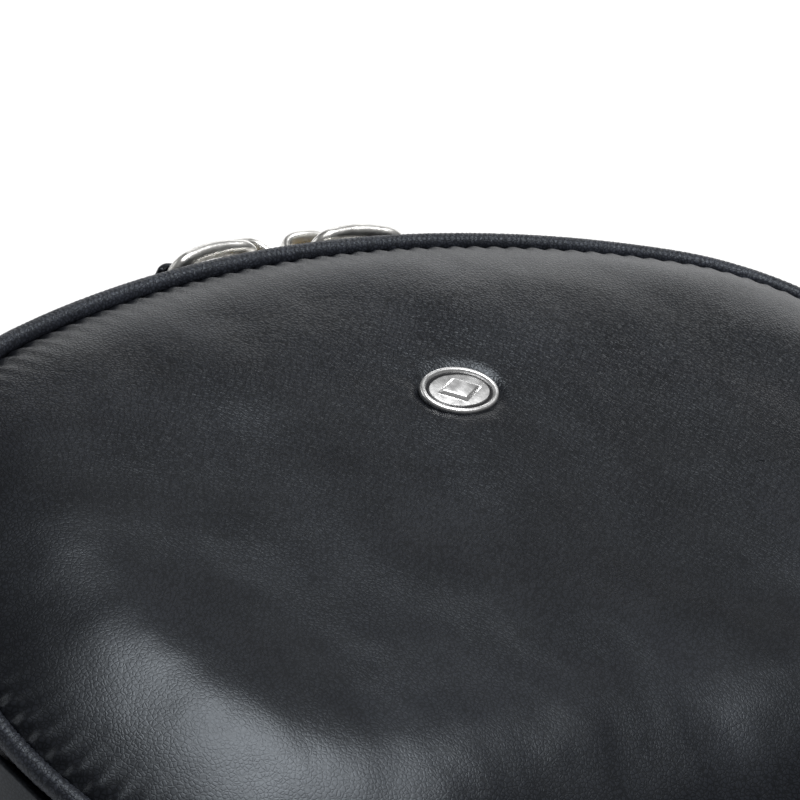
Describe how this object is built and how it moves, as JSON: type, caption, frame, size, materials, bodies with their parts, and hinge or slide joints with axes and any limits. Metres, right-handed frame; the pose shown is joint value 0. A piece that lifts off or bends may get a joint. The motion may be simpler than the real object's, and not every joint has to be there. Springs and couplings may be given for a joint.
{
  "type": "coin purse",
  "caption": "Small black leather purse with domed piped panels, a two-slider coil zip over the arched top and leather strap pulls.",
  "frame": {"origin": "middle of the footprint on the surface that the purse lies on", "axes": "+X across the purse, +Y towards the zipped arch, +Z out of the front panel"},
  "size_m": [0.131, 0.089, 0.0236],
  "materials": {
    "leather": "satin, fine pebble grain",
    "strap_leather": "satin, smooth with dark edges",
    "lining": "plain woven",
    "foam": "matt felt",
    "cord": "matt twisted cotton",
    "zip_tape": "matt twill",
    "coil": "satin nylon",
    "nickel": "polished nickel plate on die-cast zinc",
    "spring_steel": "satin",
    "badge_metal": "polished nickel plate"
  },
  "bodies": {
    "back": {"back_panel": "leather", "back_stiffener": "foam", "back_lining": "lining", "back_piping": "leather", "back_piping_cord": "cord", "back_zip_tape": "zip_tape", "back_zip_coil": "coil", "bottom_gusset": "leather", "gusset_lining": "lining", "inner_pocket": "lining", "zip_stop_left": "nickel", "zip_end_tab_left": "strap_leather", "zip_stop_right": "nickel", "zip_end_tab_right": "strap_leather"},
    "front": {"front_panel": "leather", "front_stiffener": "foam", "front_lining": "lining", "front_piping": "leather", "front_piping_cord": "cord", "front_zip_tape": "zip_tape", "front_zip_coil": "coil", "badge": "badge_metal", "badge_backing": "badge_metal"},
    "slider_left": {"slider_body_left": "nickel", "slider_crown_left": "nickel", "lock_spring_left": "spring_steel"},
    "ring_left": {"pull_ring_left": "nickel"},
    "tab_left": {"pull_tab_left": "strap_leather"},
    "slider_right": {"slider_body_right": "nickel", "slider_crown_right": "nickel", "lock_spring_right": "spring_steel"},
    "ring_right": {"pull_ring_right": "nickel"},
    "tab_right": {"pull_tab_right": "strap_leather"}
  },
  "joints": [
    {"name": "mouth_open", "type": "hinge", "parent": "back", "child": "front", "pos_m": [0, -0.04342, 0.0171], "axis": [1, 0, 0], "range_deg": [0, 11.8], "deforming": ["front_zip_tape", "front_zip_coil"]},
    {"name": "slider_left_travel", "type": "hinge", "parent": "back", "child": "slider_left", "pos_m": [0, -0.08042, 0.01135], "axis": [0, 0, 1], "range_deg": [0, 12.9]},
    {"name": "slider_right_travel", "type": "hinge", "parent": "back", "child": "slider_right", "pos_m": [0, -0.08042, 0.01135], "axis": [0, 0, 1], "range_deg": [-15.1, 0]},
    {"name": "pull_ring_left_swing", "type": "hinge", "parent": "slider_left", "child": "ring_left", "pos_m": [-0.00622, 0.04173, 0.01135], "axis": [0, 0, 1], "range_deg": [-110, 0]},
    {"name": "pull_ring_right_swing", "type": "hinge", "parent": "slider_right", "child": "ring_right", "pos_m": [0.00169, 0.04187, 0.01135], "axis": [0, 0, 1], "range_deg": [0, 110]},
    {"name": "pull_tab_left_swing", "type": "hinge", "parent": "ring_left", "child": "tab_left", "pos_m": [-0.01616, 0.0405, 0.01135], "axis": [0, 0, 1], "range_deg": [-80, 0]},
    {"name": "pull_tab_right_swing", "type": "hinge", "parent": "ring_right", "child": "tab_right", "pos_m": [0.01167, 0.04101, 0.01135], "axis": [0, 0, 1], "range_deg": [0, 80]}
  ],
  "couplings": [
    {"joint": "mouth_open", "follows": "slider_right_travel", "ratio": -0.78}
  ]
}
